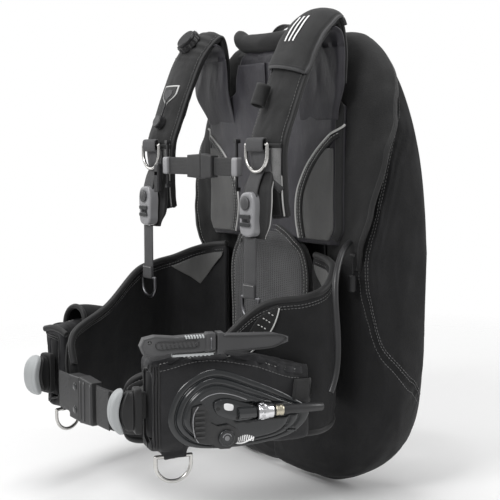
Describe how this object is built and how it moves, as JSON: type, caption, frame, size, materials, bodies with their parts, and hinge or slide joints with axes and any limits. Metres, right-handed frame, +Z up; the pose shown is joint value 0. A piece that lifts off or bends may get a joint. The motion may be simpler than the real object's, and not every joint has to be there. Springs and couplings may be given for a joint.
{
  "type": "buoyancy compensator vest",
  "caption": "Back-inflation scuba buoyancy vest with padded shoulder straps, a tank band, quick-release weight pockets, a side inflation control and a small sheathed knife.",
  "frame": {"origin": "centre of the tank band's loop, on the tank's axis", "axes": "+Z up along the tank, -Y towards the wearer's front, +X towards the wearer's left"},
  "size_m": [0.4618, 0.5655, 0.6282],
  "materials": {
    "wing_fabric": "matte, coarse nylon weave",
    "bladder_film": "smooth translucent film",
    "pad_fabric": "shiny quilted nylon",
    "mesh_fabric": "open spacer mesh",
    "strap_fabric": "matte nylon",
    "wrap_fabric": "soft matte nylon",
    "pocket_fabric": "moulded matte nylon",
    "webbing": "ribbed webbing",
    "hard_black": "fine matte moulding",
    "gloss_black": "polished moulding",
    "grey_plastic": "satin metallic grey",
    "grip_grey": "soft satin moulding",
    "steel": "polished bent wire",
    "chrome": "polished, knurled",
    "hose_rubber": "smooth",
    "lead": "dull cast"
  },
  "bodies": {
    "harness": {"wing_shell": "wing_fabric", "air_bladder": "bladder_film", "backplate": "hard_black", "back_pad": "pad_fabric", "lumbar_pad": "mesh_fabric", "carry_handle": "webbing", "tank_band": "webbing", "tank_top_strap": "webbing", "cam_frame": "hard_black", "shoulder_strap_left": "strap_fabric", "shoulder_strap_right": "strap_fabric", "shoulder_flap": "strap_fabric", "hose_sleeve": "strap_fabric", "ring_keeper_left": "webbing", "ring_keeper_right": "webbing", "shoulder_buckle_left": "grey_plastic", "shoulder_buckle_right": "grey_plastic", "sternum_rail_left": "hard_black", "sternum_rail_right": "hard_black", "waist_wrap_left": "wrap_fabric", "waist_wrap_right": "wrap_fabric", "belt_web_left": "webbing", "belt_web_right": "webbing", "waist_buckle_female": "hard_black", "pocket_left": "pocket_fabric", "pocket_right": "pocket_fabric", "control_housing": "gloss_black", "control_hub": "gloss_black", "hose_stub": "gloss_black", "supply_hose": "hose_rubber", "knife_sheath": "hard_black", "dump_valve": "hard_black", "air_hose": "hose_rubber"},
    "cam_lever": {"cam_lever": "hard_black"},
    "coupler_sleeve": {"coupler_sleeve": "chrome"},
    "control_lever": {"control_lever": "hard_black"},
    "knife": {"knife": "grey_plastic"},
    "knife_lock": {"knife_lock": "grip_grey"},
    "waist_male": {"waist_buckle_male": "hard_black"},
    "sternum_strap": {"sternum_web_left": "webbing", "sternum_web_right": "webbing", "sternum_buckle_female": "hard_black"},
    "sternum_male": {"sternum_buckle_male": "hard_black"},
    "dump_pull": {"dump_pull": "hard_black"},
    "wing_toggle": {"wing_toggle": "hard_black"},
    "whistle": {"whistle": "hard_black"},
    "shoulder_ring_left": {"shoulder_ring_left": "steel"},
    "lower_strap_left": {"lower_strap_left": "webbing"},
    "strap_end_ring_left": {"strap_end_ring_left": "steel"},
    "pocket_ring_left": {"pocket_ring_left": "steel"},
    "weight_pouch_left": {"weight_pouch_left": "webbing", "weight_grip_left": "grip_grey", "lead_weight_left": "lead"},
    "shoulder_ring_right": {"shoulder_ring_right": "steel"},
    "lower_strap_right": {"lower_strap_right": "webbing"},
    "strap_end_ring_right": {"strap_end_ring_right": "steel"},
    "pocket_ring_right": {"pocket_ring_right": "steel"},
    "weight_pouch_right": {"weight_pouch_right": "webbing", "weight_grip_right": "grip_grey", "lead_weight_right": "lead"}
  },
  "joints": [
    {"name": "shoulder_ring_left_swing", "type": "hinge", "parent": "harness", "child": "shoulder_ring_left", "pos_m": [0.131, -0.248, 0.208], "axis": [1, 0, 0], "range_deg": [-150, 1]},
    {"name": "lower_strap_left_swing", "type": "hinge", "parent": "harness", "child": "lower_strap_left", "pos_m": [0.128, -0.255, 0.0915], "axis": [1, 0, 0], "range_deg": [0, 30]},
    {"name": "strap_end_ring_left_swing", "type": "hinge", "parent": "lower_strap_left", "child": "strap_end_ring_left", "pos_m": [0.128, -0.255, 0.018], "axis": [1, 0, 0], "range_deg": [-8, 40]},
    {"name": "pocket_ring_left_swing", "type": "hinge", "parent": "harness", "child": "pocket_ring_left", "pos_m": [0.14409, -0.37794, -0.159], "axis": [0.29, 0.957, 0], "range_deg": [-60, 60]},
    {"name": "weight_pouch_left_pull", "type": "slide", "parent": "harness", "child": "weight_pouch_left", "axis": [-0.29, -0.957, 0], "range_m": [0, 0.11]},
    {"name": "shoulder_ring_right_swing", "type": "hinge", "parent": "harness", "child": "shoulder_ring_right", "pos_m": [-0.131, -0.248, 0.208], "axis": [1, 0, 0], "range_deg": [-150, 1]},
    {"name": "lower_strap_right_swing", "type": "hinge", "parent": "harness", "child": "lower_strap_right", "pos_m": [-0.128, -0.255, 0.0915], "axis": [1, 0, 0], "range_deg": [0, 30]},
    {"name": "strap_end_ring_right_swing", "type": "hinge", "parent": "lower_strap_right", "child": "strap_end_ring_right", "pos_m": [-0.128, -0.255, 0.018], "axis": [1, 0, 0], "range_deg": [-8, 40]},
    {"name": "pocket_ring_right_swing", "type": "hinge", "parent": "harness", "child": "pocket_ring_right", "pos_m": [-0.14409, -0.37794, -0.159], "axis": [-0.29, 0.957, 0], "range_deg": [-60, 60]},
    {"name": "weight_pouch_right_pull", "type": "slide", "parent": "harness", "child": "weight_pouch_right", "axis": [0.29, -0.957, 0], "range_m": [0, 0.11]},
    {"name": "cam_lever_turn", "type": "hinge", "parent": "harness", "child": "cam_lever", "pos_m": [-0.027, 0.107, 0], "axis": [0, 0, 1], "range_deg": [0, 100]},
    {"name": "control_lever_turn", "type": "hinge", "parent": "harness", "child": "control_lever", "pos_m": [0.18703, -0.33139, -0.134], "axis": [0.957, -0.29, 0], "range_deg": [-6, 6]},
    {"name": "coupler_sleeve_slide", "type": "slide", "parent": "harness", "child": "coupler_sleeve", "axis": [0.29, 0.957, 0], "range_m": [0, 0.003]},
    {"name": "knife_draw", "type": "slide", "parent": "harness", "child": "knife", "axis": [-0.29, -0.957, 0], "range_m": [0, 0.09]},
    {"name": "knife_lock_press", "type": "slide", "parent": "knife", "child": "knife_lock", "axis": [0, 0, 1], "range_m": [0, 0.0015]},
    {"name": "waist_buckle_release", "type": "slide", "parent": "harness", "child": "waist_male", "axis": [-1, 0, 0], "range_m": [0, 0.022]},
    {"name": "sternum_height", "type": "slide", "parent": "harness", "child": "sternum_strap", "axis": [0, 0, 1], "range_m": [-0.012, 0.015]},
    {"name": "sternum_buckle_release", "type": "slide", "parent": "sternum_strap", "child": "sternum_male", "axis": [-1, 0, 0], "range_m": [0, 0.012]},
    {"name": "dump_pull_slide", "type": "slide", "parent": "harness", "child": "dump_pull", "axis": [0, -0.3695, -0.9292], "range_m": [0, 0.008]},
    {"name": "wing_toggle_swing", "type": "hinge", "parent": "harness", "child": "wing_toggle", "pos_m": [0.182, -0.135, 0.069], "axis": [1, 0, 0], "range_deg": [-25, 2]},
    {"name": "whistle_swing", "type": "hinge", "parent": "harness", "child": "whistle", "pos_m": [-0.103, -0.253, 0.18], "axis": [1, 0, 0], "range_deg": [-40, 4]}
  ]
}
